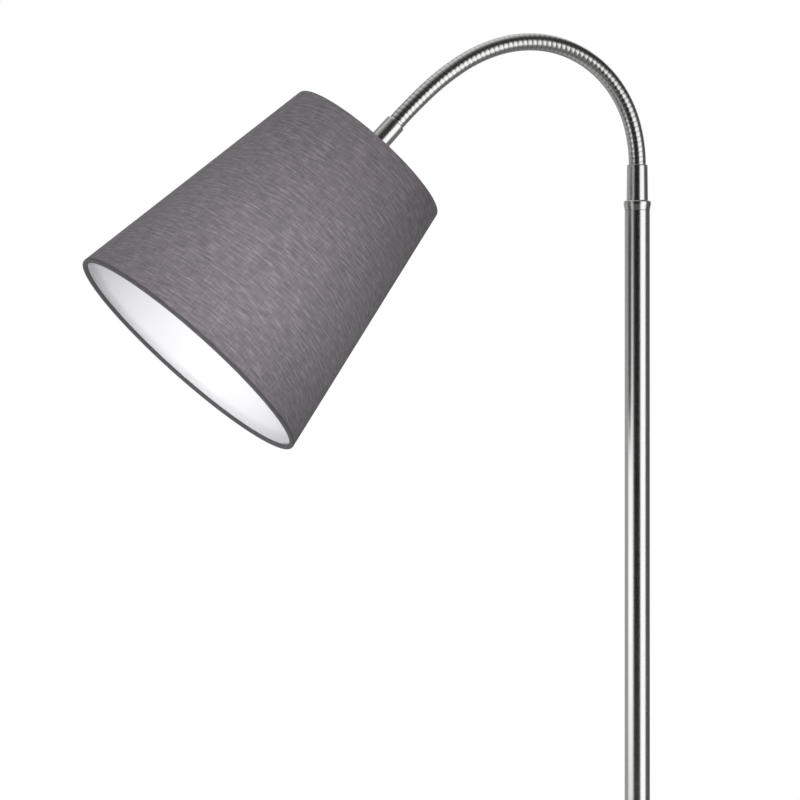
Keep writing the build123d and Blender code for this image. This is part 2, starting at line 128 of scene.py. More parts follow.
class Finish:
    """The nodes of a material, or of another thing that has nodes."""

    def __init__(self, owner):
        self.owner = bpy.data.materials.new(owner) if isinstance(owner, str) else owner
        self.owner.use_nodes = True
        self.tree = self.owner.node_tree

    def add(self, kind, settings=None, sockets=None, output=0):
        """Adds a node: its settings, then a number, colour or Value for each socket, by name or place."""
        node = self.tree.nodes.new("ShaderNode" + kind)
        for name, setting in (settings or {}).items():
            setattr(node, name, setting)
        for name, value in (sockets or {}).items():
            self.feed(node.inputs[name], value)
        return Value(self.tree, node.outputs[output])

    def feed(self, socket, value):
        if isinstance(value, Value):
            self.tree.links.new(value.socket, socket)
        else:
            socket.default_value = value

    def surface(self, **sockets):
        """Sets the surface shader's sockets, Base_Color for Base Color, and returns the material."""
        shader = self.tree.nodes["Principled BSDF"]
        for name, value in sockets.items():
            self.feed(shader.inputs[name.replace("_", " ")], value)
        return self.owner

    def show(self, shader):
        """Makes a shader the one that is seen."""
        end = next(node for node in self.tree.nodes if node.bl_idname.startswith("ShaderNodeOutput"))
        self.tree.links.new(shader.socket, end.inputs["Surface"])
        return self.owner

    def colour(self, amount, first, second):
        """A colour between two, by an amount from 0 to 1."""
        return self.add("Mix", {"data_type": "RGBA"}, {0: amount, 6: first, 7: second}, output=2)

    def noise(self, vector, scale, detail=2.0, roughness=0.5):
        """Soft noise from 0 to 1 about a half, in lumps per metre: one scale, or one along each axis."""
        scales = np.broadcast_to(scale, 3).tolist()
        place = self.add("VectorMath", {"operation": "MULTIPLY"}, {0: vector, 1: scales})
        sockets = {"Vector": place, "Scale": 1.0, "Detail": detail, "Roughness": roughness}
        return self.add("TexNoise", None, sockets)

    def bump(self, height, distance):
        """The normal of a surface that rises by distance, in metres, where height goes from 0 to 1."""
        return self.add("Bump", None, {"Height": height, "Distance": distance, "Strength": 1.0})


def rgb(red, green, blue):
    """A colour as the picture shows it, from 0 to 255, turned into the light it stands for."""
    shown = np.array([red, green, blue]) / 255
    light = np.where(shown > 0.04045, ((shown + 0.055) / 1.055) ** 2.4, shown / 12.92)
    return (*light.tolist(), 1.0)


# Floor and light ----------------------------------------
# A pale floor that turns to the white of the background further out, an even sky, one large soft lamp beside
# the camera, a spot on the shade, a fill light into its mouth from below, and a room round the lamp that only
# gloss sees: dark, with white panels at its right and left and overhead, and cut off flat above the floor.
FLOOR_RADIUS = 6.0
FLOOR_PLAIN = 1.2  # to this radius it is a lit floor, and from the next it is all white
FLOOR_WHITE = 3.0
SKY = 0.24
LAMP_POWER = 28.0
LAMP_SIZE = 1.6
LAMP_PLACE = (-1.9, -1.9, 2.0)
LAMP_AIM = (-0.25, 0.0, 1.2)
SPOT_POWER = 290.0
SPOT_ANGLE = radians(6.6)
SPOT_SIZE = 0.12
SPOT_PLACE = (-1.0, -2.7, 1.05)
SPOT_AIM = (-0.30, -0.09, 1.205)
FILL_POWER = 46.0
FILL_ANGLE = radians(17)
FILL_PLACE = (-1.17, -0.31, 0.28)
FILL_AIM = (-0.347, 0.0, 1.171)
ROOM_RADIUS = 2.4
ROOM_MIDDLE = 1.14  # height of its centre
ROOM_FOOT = 0.004  # it is cut off flat this high above the floor


def seen_white(finish):
    """1 for the camera and for what is seen in gloss or through glass, 0 for light that falls on things."""
    path = finish.add("LightPath").socket.node.outputs
    ways = [Value(finish.tree, path[f"Is {way} Ray"]) for way in ("Camera", "Glossy", "Transmission")]
    return ways[0].larger(ways[1]).larger(ways[2])


def disc(radius, rings, around):
    """A flat round floor: rings of points, closing to one in the middle."""
    angle = np.linspace(0, 2 * pi, around + 1)
    out = np.linspace(0, radius, rings)[:, None]
    return np.stack([out * np.cos(angle), out * np.sin(angle), 0 * out * angle], axis=-1)


def floor_finish():
    """Pale matt paint, plain white for the camera further out, where no shadow of the lamp falls."""
    finish = Finish("pale_floor")
    place = finish.add("TexCoord", output=3)
    out = finish.add("VectorMath", {"operation": "LENGTH"}, {0: place}, output=1)
    mottle = finish.noise(place, 5.0, 3.0)
    paint = finish.colour(mottle, (0.86, 0.86, 0.86, 1.0), (0.90, 0.90, 0.90, 1.0))
    matt = finish.add("BsdfDiffuse", None, {"Color": paint})
    white = finish.add("Emission", None, {"Color": (1.0, 1.0, 1.0, 1.0), "Strength": 1.0})
    far = out.above(FLOOR_PLAIN, FLOOR_WHITE) * seen_white(finish)
    return finish.show(finish.add("MixShader", None, {0: far, 1: matt, 2: white}))


def skin(name, points, marks=None, flat=None, sharp=radians(40)):
    """A mesh over a grid of points, rows by columns, with a face between each four neighbours. Where the
    grid comes back on itself or shrinks to a point its doubles are merged, and the faces are turned
    outwards. Marks are numbers or vectors kept at each point for the finishes, and flat is the UV map."""
    corner = np.arange(points[..., 0].size).reshape(points.shape[:2])
    faces = np.stack([corner[:-1, :-1], corner[:-1, 1:], corner[1:, 1:], corner[1:, :-1]], axis=-1)
    faces = faces.reshape(-1, 4)
    mesh = bpy.data.meshes.new(name)
    mesh.vertices.add(corner.size)
    mesh.vertices.foreach_set("co", points.astype(np.float32).ravel())
    mesh.loops.add(faces.size)
    mesh.loops.foreach_set("vertex_index", faces.astype(np.int32).ravel())
    mesh.polygons.add(len(faces))
    mesh.polygons.foreach_set("loop_start", np.arange(0, faces.size, 4, dtype=np.int32))
    mesh.update(calc_edges=True)
    for key, mark in (marks or {}).items():
        kind, field = ("FLOAT_VECTOR", "vector") if mark.ndim == 3 else ("FLOAT", "value")
        mesh.attributes.new(key, kind, "POINT").data.foreach_set(field, mark.astype(np.float32).ravel())
    if flat is not None:
        spread = flat.reshape(-1, 2)[faces].astype(np.float32)
        mesh.uv_layers.new(name="flat_cut").data.foreach_set("uv", spread.ravel())
    shape = bmesh.new()
    shape.from_mesh(mesh)
    bmesh.ops.remove_doubles(shape, verts=shape.verts, dist=1e-6)
    bmesh.ops.recalc_face_normals(shape, faces=shape.faces)
    shape.to_mesh(mesh)
    shape.free()
    mesh.shade_smooth()
    mesh.set_sharp_from_angle(angle=sharp)
    piece = bpy.data.objects.new(name, mesh)
    scene.collection.objects.link(piece)
    return piece


def studio_room():
    """A ball round the lamp whose glow changes with the bearing to the right of the camera and the height
    angle, both in degrees. A panel is a product of soft steps, 1 inside its limits and 0 outside. The glow
    is the brightest of the panels and of a dark ground, which is lighter overhead and low down. The ball is
    cut off flat just above the floor."""
    bearing, rise = np.meshgrid(np.linspace(-180, 180, 181), np.linspace(-90, 90, 91))

    def step(value, start, end):
        share = np.clip((value - start) / (end - start), 0, 1)
        return share * share * (3 - 2 * share)

    def panel(value, low, high, soft):
        return step(value, low - soft, low + soft) * step(-value, -high - soft, -high + soft)

    ground = 0.012 + 0.03 * step(rise, 12, 30) + 0.4 * step(rise, 60, 88) + 0.16 * step(-rise, 8, 24)
    right = 1.45 * panel(bearing, 26, 76, 6) * step(rise, -50, -18) * step(-rise, -36, -8)
    left_low = 1.4 * panel(rise, -11, 0, 4) * step(-bearing, 34, 50) * step(bearing, -98, -84)
    left = 0.42 * panel(bearing, -150, -36, 8) * step(-rise, -20, -12) + left_low
    overhead = 0.8 * step(rise, 36, 58) * np.maximum(step(-bearing, -20, 110), step(bearing, 120, 175))
    right_edge = 0.10 * panel(bearing, 80, 140, 8) * panel(rise, -30, 30, 8)
    behind = step(np.abs(bearing), 132, 150)
    back = 0.5 * behind * step(rise, -30, 30) + 0.25 * behind
    glow = np.maximum.reduce([ground, right, left, overhead, right_edge, back])
    level, turn = np.radians(rise)[..., None], np.radians(bearing)[..., None]
    ahead = np.cos(turn) * to_camera + np.sin(turn) * to_right
    out = np.cos(level) * ahead + np.sin(level) * np.array([0, 0, 1])
    reach = np.minimum(ROOM_RADIUS, (ROOM_MIDDLE - ROOM_FOOT) / np.maximum(-np.sin(level), 0.01))
    points = reach * out + np.array([0, 0, ROOM_MIDDLE])
    room = skin("studio_room", points, {"glow": glow[..., None] * np.ones(3)})
    finish = Finish("studio_glow")
    shown = finish.add("Attribute", {"attribute_name": "glow"}, output=1)
    light = finish.add("Emission", None, {"Color": shown})
    room.data.materials.append(finish.show(light))
    room.visible_camera = room.visible_diffuse = room.visible_shadow = False
    room.visible_transmission = room.visible_volume_scatter = False


def shine(name, kind, power, place, aim, **settings):
    """A light at a place, turned to a point, that gloss doesn't show."""
    data = bpy.data.lights.new(name, kind)
    data.energy = power
    for key, setting in settings.items():
        setattr(data, key, setting)
    light = bpy.data.objects.new(name, data)
    light.location = place
    light.rotation_euler = (Vector(place) - Vector(aim)).to_track_quat("Z", "Y").to_euler()
    light.visible_glossy = False
    scene.collection.objects.link(light)
    return light


floor = skin("floor", disc(FLOOR_RADIUS, rings=13, around=96))
floor.data.materials.append(floor_finish())

sky = Finish(bpy.data.worlds.new("sky"))
scene.world = sky.owner
even = sky.add("Background", None, {"Color": (1.0, 1.0, 1.0, 1.0), "Strength": SKY})
white = sky.add("Background", None, {"Color": (1.0, 1.0, 1.0, 1.0), "Strength": 1.0})
sky.show(sky.add("MixShader", None, {0: seen_white(sky), 1: even, 2: white}))

shine("soft_lamp", "AREA", LAMP_POWER, LAMP_PLACE, LAMP_AIM, size=LAMP_SIZE).visible_camera = False
for name, power, angle, place, aim in (
    ("shade_spot", SPOT_POWER, SPOT_ANGLE, SPOT_PLACE, SPOT_AIM),
    ("mouth_fill", FILL_POWER, FILL_ANGLE, FILL_PLACE, FILL_AIM),
):
    shine(name, "SPOT", power, place, aim, spot_size=angle, spot_blend=1.0, shadow_soft_size=SPOT_SIZE)

studio_room()


# Foam pad under the base --------------------------------
# A disc of black EVA foam that the lamp stands on, die cut and glued under the weight last, over the nut.
BASE_DIAMETER = 0.240
PAD_THICKNESS = 0.003
PAD_INSET = 0.007


def rounded(corners, steps=5):
    """An outline through (radius, height, rounding) corners. A corner that turns by t is cut back along both
    its sides by rounding x tan(t / 2), and an arc joins the cuts: from its start, a chord of
    2 x rounding x sin(t x share / 2) at the first side's heading plus t x share / 2. A support point on each
    side keeps the shading of the flats level."""
    corners = np.array(corners, float)
    here, size = corners[:, :2], corners[:, 2:]
    side_in = here - np.roll(here, 1, axis=0)
    side_out = np.roll(here, -1, axis=0) - here
    side_in /= np.linalg.norm(side_in, axis=1, keepdims=True)
    side_out /= np.linalg.norm(side_out, axis=1, keepdims=True)
    heading = np.arctan2(side_in[:, 1:], side_in[:, :1])
    across = side_in[:, :1] * side_out[:, 1:] - side_in[:, 1:] * side_out[:, :1]
    turn = np.arctan2(across, np.sum(side_in * side_out, axis=1, keepdims=True))
    share = np.linspace(0, 1, steps + 1)
    chord = 2 * size * np.sin(np.abs(turn) * share / 2)
    way = heading + turn * share / 2
    cut = size * np.abs(np.tan(turn / 2))
    start = here - side_in * cut
    arc = start[:, None] + np.stack([chord * np.cos(way), chord * np.sin(way)], axis=-1)
    first = arc[:, :1] - (side_in * cut * 0.3)[:, None]
    last = arc[:, -1:] + (side_out * cut * 0.3)[:, None]
    outline = np.concatenate([first, arc, last], axis=1).reshape(-1, 2)
    apart = np.linalg.norm(outline - np.roll(outline, 1, axis=0), axis=1) > 2e-6
    return outline[apart]


def rays(angle, ahead):
    """Directions away from an axis, at angles round it: cos angle x Y + sin angle x (ahead x Y)."""
    side = np.array([0.0, 1.0, 0.0])
    return np.cos(angle)[..., None] * side + np.sin(angle)[..., None] * np.cross(ahead, side)


def spun(name, outline, at=(0, 0, 0), ahead=(0, 0, 1), around=96, change=None):
    """A turned piece: a closed outline of (radius, height) points carried round an axis, so that a point is
    at + height x ahead + radius x ray. It keeps, as the mark turning, its place across the axis and its
    distance along the outline. Change makes new radii from old ones."""
    outline = np.vstack([outline, outline[:1]])
    length = np.append(0, np.cumsum(np.linalg.norm(np.diff(outline, axis=0), axis=1)))
    angle, _ = np.meshgrid(np.linspace(0, 2 * pi, around + 1), length)
    radius = outline[:, :1] + 0 * angle
    height = outline[:, 1:] + 0 * angle
    if change:
        radius = change(radius, height, angle)
    ahead = np.array(ahead, float)
    points = np.array(at) + height[..., None] * ahead + radius[..., None] * rays(angle, ahead)
    turning = np.stack([radius * np.cos(angle), radius * np.sin(angle), length[:, None] + 0 * angle], axis=-1)
    return skin(name, points, {"turning": turning})


def fitted(piece, finish, body, slot, *nodes):
    """Gives a piece its finish, its body and the nodes that it stands for. The slot is not used."""
    piece.data.materials.append(finish)
    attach(piece, body)
    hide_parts(*nodes)


def foam_finish():
    """Closed-cell foam: fine cells, with a few larger ones cut open."""
    finish = Finish("foam_pad")
    place = finish.add("TexCoord", output=3)
    cells = finish.add("TexVoronoi", None, {"Vector": place, "Scale": 1600.0})
    large = finish.noise(place, 400.0, 2.0)
    tone = finish.colour(large, rgb(34, 34, 36), rgb(52, 52, 54))
    return finish.surface(Base_Color=tone, Roughness=0.92, Normal=finish.bump(cells, 0.0002))


pad_rim = BASE_DIAMETER / 2 - PAD_INSET
pad = spun("floor_pad_foam", rounded([
    (0, 0, 0), (pad_rim, 0, 0.0005), (pad_rim, PAD_THICKNESS, 0.0003), (0, PAD_THICKNESS, 0),
]), around=160)
fitted(pad, foam_finish(), "stand", "foam_pad", "floor_pad")


# Cast weight with washer, nut and stud ------------------
# Grey iron disc, sand cast and painted, drawn up to the cover and foot by a zinc plated nut and washer on a
# hollow threaded stud. The pad hides them all.
THREAD_PITCH = 0.001


def iron_finish():
    """Sand-cast iron under thin black paint: grainy, with paler worn spots."""
    finish = Finish("cast_iron")
    place = finish.add("TexCoord", output=3)
    grain = finish.noise(place, 900.0, 4.0, 0.7)
    worn = finish.noise(place, 45.0, 3.0).above(0.58, 0.75)
    tone = finish.colour(worn, rgb(52, 52, 54), rgb(92, 90, 88))
    return finish.surface(Base_Color=tone, Roughness=0.55 + grain * 0.3, Normal=finish.bump(grain, 0.0004))


def zinc_finish(name, along):
    """Zinc plate with a thread or tool marks: fine rings along one axis, and cloudy patches."""
    finish = Finish(name)
    place = finish.add("TexCoord", output=3)
    rings = (finish.add("SeparateXYZ", None, {0: place}, output=2) * (2 * pi / along)).sine() * 0.5 + 0.5
    cloud = finish.noise(place, 300.0, 3.0)
    tone = finish.colour(cloud, rgb(186, 188, 190), rgb(214, 215, 214))
    return finish.surface(
        Base_Color=tone, Metallic=1.0, Roughness=0.28 + cloud * 0.2, Normal=finish.bump(rings, along * 0.25),
    )


def paint_nodes(finish, *nodes):
    """Gives CAD nodes that stay in view a finish of their own."""
    for node in nodes:
        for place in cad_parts[node].material_slots:
            place.material = finish


paint_nodes(iron_finish(), "base_weight")
zinc_thread = zinc_finish("zinc_thread", THREAD_PITCH)
paint_nodes(zinc_thread, "base_washer", "base_nut", "base_stud")


# Base cover ---------------------------------------------
# Thin steel disc, spun over a form to a rounded rim, then brushed in circles and plated with satin nickel. It
# rests on the weight and is notched at the back for the cord.
COVER_TOP = 0.018
COVER_WALL = 0.001
COVER_ROUNDING = 0.006
COVER_LIFT = 0.0015
NICKEL = rgb(222, 221, 219)


def nickel_finish(name, roughness=0.17, groove=None):
    """Satin nickel: fine long brush lines round the piece, in the gloss and a little in the surface, with
    faint broad clouds of wear. Given a groove mark, it paints the grooves darker: partly dirt, partly painted
    shade."""
    finish = Finish(name)
    turning = finish.add("Attribute", {"attribute_name": "turning"}, output=1)
    lines = finish.noise(turning, (90.0, 90.0, 6500.0), 2.0, 0.6)
    cloud = finish.noise(turning, 28.0, 3.0)
    tone = finish.colour(lines, [v * 0.94 for v in NICKEL[:3]] + [1.0], NICKEL)
    if groove:
        # Painted shade and dirt: the grooves between the ribs are painted darker.
        groove_dirt_and_shade = finish.add("Attribute", {"attribute_name": groove}, output=2)
        tone = finish.colour(groove_dirt_and_shade, tone, rgb(150, 150, 152))
    sheen = roughness + lines * 0.07 + cloud * 0.05
    return finish.surface(
        Base_Color=tone, Metallic=1.0, Roughness=sheen, Normal=finish.bump(lines, 0.000004),
    )


satin = nickel_finish("satin_nickel")
rim = BASE_DIAMETER / 2
stud_hole = 0.00505
cover = spun("base_cover_spun", rounded([
    (stud_hole, COVER_TOP - COVER_WALL, 0),
    (rim - COVER_WALL, COVER_TOP - COVER_WALL, COVER_ROUNDING - COVER_WALL),
    (rim - COVER_WALL, COVER_LIFT, 0.0003), (rim, COVER_LIFT, 0.0003), (rim, COVER_TOP, COVER_ROUNDING),
    (stud_hole, COVER_TOP, 0),
], steps=10), around=192)
fitted(cover, satin, "stand", "satin_nickel", "base_cover")


# Cord inlet ---------------------------------------------
# Moulded black rubber gland in the cover's skirt at the back, with a rounded lip and the bore for the cord.
BUSHING_HEIGHT = 0.00705
BUSHING_INSIDE = 0.010
BUSHING_LIP = 0.002
BUSHING_RADII = (0.0028, 0.0040, 0.00525)


def rubber_finish(name, tone, roughness=0.6, grain=0.00003):
    """Moulded rubber or plastic: an even colour with a fine spark-eroded grain and slight clouding."""
    finish = Finish(name)
    place = finish.add("TexCoord", output=3)
    fine = finish.noise(place, 2600.0, 3.0, 0.6)
    cloud = finish.noise(place, 60.0, 2.0)
    shade = finish.colour(cloud, [v * 0.85 for v in tone[:3]] + [1.0], tone)
    return finish.surface(
        Base_Color=shade, Roughness=roughness - 0.08 + cloud * 0.16, Normal=finish.bump(fine, grain),
    )


bore, barrel, flange = BUSHING_RADII
gland = spun("cord_gland", rounded([
    (bore, -BUSHING_INSIDE, 0.0003), (barrel, -BUSHING_INSIDE, 0.0004), (barrel, 0, 0.0001),
    (flange, 0, 0.0004), (flange - 0.0006, BUSHING_LIP, 0.0009), (bore, BUSHING_LIP, 0.0007),
]), at=(BASE_DIAMETER / 2, 0, BUSHING_HEIGHT), ahead=(1, 0, 0), around=64)
fitted(gland, rubber_finish("black_rubber", rgb(38, 38, 40)), "stand", "black_plastic", "cord_bushing")


# Foot collar --------------------------------------------
# Turned steel cone that the pole stands in, nickel plated. The stud pulls it down on the cover.
FOOT_RADII = (0.019, 0.0125)  # at the cover, and round the pole
FOOT_HEIGHT = 0.015
FOOT_FLOOR = 0.003
FOOT_EDGE = 0.002  # upright part at its foot
POLE_DIAMETER = 0.019
FIT = 0.00005

foot_low, foot_high = FOOT_RADII
foot_top = COVER_TOP + FOOT_HEIGHT
foot = spun("pole_foot_turned", rounded([
    (stud_hole, COVER_TOP, 0), (foot_low, COVER_TOP, 0.0003), (foot_low, COVER_TOP + FOOT_EDGE, 0.0008),
    (foot_high, foot_top, 0.0010), (POLE_DIAMETER / 2 + FIT, foot_top, 0.0002),
    (POLE_DIAMETER / 2 + FIT, COVER_TOP + FOOT_FLOOR, 0), (stud_hole, COVER_TOP + FOOT_FLOOR, 0),
]))
fitted(foot, satin, "stand", "satin_nickel", "pole_foot_collar")


# Pole ---------------------------------------------------
# Two lengths of steel tube with 1.2 mm walls, brushed and nickel plated. Pressed-in plugs with threads join
# them to each other, to the foot and to the collar.
POLE_WALL = 0.0012
POLE_SECTION = 0.630
POLE_FOOT = COVER_TOP + FOOT_FLOOR
POLE_JOINT = POLE_FOOT + POLE_SECTION
POLE_TOP = POLE_JOINT + POLE_SECTION


def pole_tube(name, low):
    """One tube, its cut ends broken by a small radius, so that the joint shows as a fine line."""
    outer, inner = POLE_DIAMETER / 2, POLE_DIAMETER / 2 - POLE_WALL
    high = low + POLE_SECTION
    return spun(name, rounded([
        (inner, low, 0.0002), (outer, low, 0.0003), (outer, high, 0.0003), (inner, high, 0.0002),
    ]))


fitted(pole_tube("pole_lower_tube", POLE_FOOT), satin, "stand", "satin_nickel", "pole_lower")
fitted(pole_tube("pole_upper_tube", POLE_JOINT), satin, "stand", "satin_nickel", "pole_upper")
paint_nodes(zinc_thread, "pole_foot_plug", "pole_joint_plug", "pole_joint_socket", "pole_top_plug")


# Collar on the pole -------------------------------------
# Turned ring, nickel plated, that finishes the top of the pole: it widens from the pole at its foot and is
# bevelled at its top. A hollow nipple screws it between pole and ferrule.
COLLAR_DIAMETER = 0.0206
COLLAR_HEIGHT = 0.007
COLLAR_FLARE = 0.0042
COLLAR_BEVEL = 0.0008

collar_rim = COLLAR_DIAMETER / 2
collar_top = POLE_TOP + COLLAR_HEIGHT
collar = spun("pole_top_ring", rounded([
    (stud_hole, POLE_TOP, 0), (POLE_DIAMETER / 2, POLE_TOP, 0.0002),
    (collar_rim, POLE_TOP + COLLAR_FLARE, 0.0012), (collar_rim, collar_top - COLLAR_BEVEL, 0.0006),
    (collar_rim - COLLAR_BEVEL, collar_top, 0.0003), (stud_hole, collar_top, 0),
]))
fitted(collar, satin, "stand", "satin_nickel", "pole_top_collar")
paint_nodes(zinc_thread, "neck_nipple")


# Lower ferrule ------------------------------------------
# Turned sleeve, a little tapered, that is pressed over the end of the neck and screwed to the collar. Its
# mouth is rounded. Brushed and nickel plated.
FERRULE_LENGTH = 0.027
FERRULE_RADII = (0.0081, 0.00775)  # at its foot and at its mouth
FERRULE_GRIP = 0.014
FERRULE_SHOULDER = 0.0008
NECK_DIAMETER = 0.013
NECK_START = collar_top + FERRULE_LENGTH


def ferrule(name, at, ahead):
    """A sleeve with its mouth at a point and its foot a length behind it."""
    foot, mouth = FERRULE_RADII
    grip = NECK_DIAMETER / 2 + FIT
    return spun(name, rounded([
        (stud_hole, -FERRULE_LENGTH, 0), (foot, -FERRULE_LENGTH, 0.0003), (mouth, 0, FERRULE_SHOULDER),
        (grip, 0, 0.0002), (grip, -FERRULE_GRIP, 0), (stud_hole, -FERRULE_GRIP, 0),
    ]), at, ahead)


fitted(ferrule("ferrule_lower_sleeve", (0, 0, NECK_START), (0, 0, 1)), satin, "stand", "satin_nickel",
       "ferrule_lower")


# Inner coil of the neck ---------------------------------
# Round spring wire, wound close, under the outer winding. It carries the load, and the bending points of
# the neck lie between its lengths.
COIL_COUNT = 10
WIRE_PITCH = 0.0014

coil_finish = zinc_finish("spring_wire", WIRE_PITCH)
coil_nodes = [f"neck_coil_{number:02d}" for number in range(1, COIL_COUNT + 1)]
paint_nodes(coil_finish, "neck_coil_foot", "neck_coil_head", *coil_nodes)


# Gooseneck ----------------------------------------------
# Outer winding of shaped steel wire, one rib a turn, nickel plated and polished. It is one hose, made here as
# lengths, each round one bending point. One length is cut at its bending point, and its halves go to the
# bodies on either side; the others are baked in place, with no body of their own. One doesn't either way, so
# it is cut at its bending point.
TURNED_LENGTHS = (2, 6)  # counted from 0, as is the next
CUT_LENGTH = 8
NECK_LENGTH = 0.263
NECK_TURNS = np.radians([17.0, 22.0, 23.5, 24.0, 21.0, 16.0, 9.5, 4.4])
RIB_COUNT = 69
RIB_DEPTH = 0.00010
RIB_ROUNDNESS = 2.0
CASING_BORE = 0.0103
SIDE_BENDS = (1, 4, 7)  # ends of eighths where the neck also bends sideways
BEND_MARGIN = 0.0005
ROWS_PER_RIB = 14
NECK_AROUND = 56

eighth = NECK_LENGTH / len(NECK_TURNS)
pitch = NECK_LENGTH / RIB_COUNT


def neck_line(along):
    """Points of the neck's middle line and its directions, at distances from the lower ferrule's mouth. It is
    straight in the ferrules and turns at an even rate in each eighth. From an eighth's start, the chord of
    a run with the curve k is run x sin(k run / 2) / (k run / 2), at the start's heading plus k run / 2."""
    curve = np.concatenate([[0], NECK_TURNS / eighth, [0]])
    starts = np.concatenate([[0], np.arange(len(NECK_TURNS) + 1) * eighth])
    lengths = np.append(np.diff(starts), 0)
    headings = pi / 2 + np.append(0, np.cumsum(curve * lengths)[:-1])

    def chord(run, curve, heading):
        reach = run * np.sinc(curve * run / 2 / pi)
        way = heading + curve * run / 2
        return np.stack([reach * np.cos(way), 0 * reach, reach * np.sin(way)], axis=-1)

    knots = np.cumsum(np.vstack([[0, 0, NECK_START], chord(lengths, curve, headings)[:-1]]), axis=0)
    part = np.clip(np.floor(along / eighth).astype(int) + 1, 0, len(curve) - 1)
    run = along - starts[part]
    heading = headings[part] + curve[part] * run
    ahead = np.stack([np.cos(heading), 0 * heading, np.sin(heading)], axis=-1)
    return knots[part] + chord(run, curve[part], headings[part]), ahead


def neck_length(name, start, end):
    """A closed length of the winding: out along the ribs and back along the bore. The radius is the crest's
    less a groove, |2 phase - 1| to the power of the ribs' roundness deep, where the phase is the fraction of
    along / pitch - angle / 2 pi, so that the ribs climb as one screw."""
    rows = int(round((end - start) / pitch * ROWS_PER_RIB)) + 1
    out = np.linspace(start, end, rows)
    back = np.linspace(end, start, max(rows // 8, 2))
    along = np.concatenate([out, back, out[:1]])
    angle, place = np.meshgrid(np.linspace(0, 2 * pi, NECK_AROUND + 1), along)
    ribbed = (np.arange(len(along)) < rows) | (np.arange(len(along)) == len(along) - 1)
    phase = np.mod(place / pitch - angle / (2 * pi), 1)
    groove = np.abs(2 * phase - 1) ** RIB_ROUNDNESS * ribbed[:, None]
    radius = np.where(ribbed[:, None], NECK_DIAMETER / 2, CASING_BORE / 2) - RIB_DEPTH * groove
    middle, ahead = neck_line(along)
    points = middle[:, None] + radius[..., None] * rays(angle, ahead[:, None])
    turning = np.stack([radius * np.cos(angle), radius * np.sin(angle), place], axis=-1)
    # The mark groove is where the finish paints dirt and painted shade into the grooves.
    return skin(name, points, {"turning": turning, "groove": groove ** 4.0}, sharp=radians(60))


ribbed_nickel = nickel_finish("ribbed_nickel", roughness=0.18, groove="groove")
bends = [(number + 0.5) * eighth for number in range(len(NECK_TURNS))]
bends = sorted(bends + [number * eighth for number in SIDE_BENDS])
cuts = [(bends[i] + bends[i + 1]) / 2 for i in range(len(bends) - 1)]
cuts = [-FERRULE_GRIP] + cuts + [NECK_LENGTH + FERRULE_GRIP]
bodies = ["stand"] + [f"neck_{number:02d}" for number in range(1, COIL_COUNT + 1)] + ["head"]
for number, bend in enumerate(bends):
    if number == CUT_LENGTH:
        for mark, side, low, high in (("a", 0, cuts[number], bend), ("b", 1, bend, cuts[number + 1])):
            half_length = neck_length(f"gooseneck_{number + 1:02d}{mark}", low, high)
            fitted(half_length, ribbed_nickel, bodies[number + side], "satin_nickel", "gooseneck_casing")
        continue
    piece = neck_length(f"gooseneck_{number + 1:02d}", cuts[number], cuts[number + 1])
    piece.data.materials.append(ribbed_nickel)
    half = min(bend - max(cuts[number], 0), min(cuts[number + 1], NECK_LENGTH) - bend) - BEND_MARGIN
    (low, high), _ = neck_line(np.array([bend - half, bend + half]))
    if number in TURNED_LENGTHS:
        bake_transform(piece)
    else:
        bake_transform(piece)
    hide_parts("gooseneck_casing")


# Upper ferrule ------------------------------------------
# The same sleeve turned round, on the upper end of the neck. A hollow nipple screws it to the lampholder.
(neck_end,), (head_ahead,) = neck_line(np.array([NECK_LENGTH]))

fitted(ferrule("ferrule_upper_sleeve", neck_end, -head_ahead), satin, "head", "satin_nickel", "ferrule_upper")
paint_nodes(zinc_thread, "holder_nipple")


# Lampholder ---------------------------------------------
# Two moulded black parts: a domed cap on the nipple and a skirt with the flange for the shade's ring, with
# grip ribs. Inside are a ceramic block, a centre contact and a brass screw shell.
HOLDER_DIAMETER = 0.040
HOLDER_NECK = 0.018
HOLDER_WALL = 0.002
CAP_HEIGHT = 0.018
CAP_NECK = 0.003
CAP_DOME = 0.006
NIPPLE_REACH = 0.008
SHELL_LENGTH = 0.037
FLANGE_DIAMETER = 0.0435
FLANGE_AT = 0.010
FLANGE_THICKNESS = 0.0025
GRIP_RIBS = 48
GRIP_DEPTH = 0.0004
SHELL_THREAD = 0.003  # pitch, with the depth next
SHELL_THREAD_DEPTH = 0.0005
SHELL_THREAD_INSET = 0.001
FADE = 0.001  # over which ribs and threads run out

holder_wide = HOLDER_DIAMETER / 2
holder_inside = holder_wide - HOLDER_WALL
cap_end = FERRULE_LENGTH + CAP_HEIGHT
shell_end = cap_end + SHELL_LENGTH
flange_low = cap_end + FLANGE_AT
flange_end = flange_low + FLANGE_THICKNESS


def inside(height, low, high):
    """1 between two heights, and fading to 0 at both."""
    return np.clip((height - low) / FADE, 0, 1) * np.clip((high - height) / FADE, 0, 1)


def grip_ribs(low, high, outer):
    """A change of radius that presses fine ribs into a side: rib depth x half of 1 - cos(ribs x angle),
    fading out at the ends of the ribbed height."""
    def change(radius, height, angle):
        side = np.clip((radius - outer + 0.0005) / 0.0003, 0, 1)
        return radius - GRIP_DEPTH * inside(height, low, high) * side * (1 - np.cos(GRIP_RIBS * angle)) / 2
    return change


def steps_between(low, high, radius, count):
    """Extra outline corners along a straight side, so that a change of radius has rows to work on."""
    return [(radius, height, 0) for height in np.linspace(low, high, count)]


def on_head(name, outline, **how):
    """A turned piece on the head's axis, its heights counted from the upper ferrule's mouth."""
    return spun(name, outline, at=neck_end, ahead=head_ahead, **how)


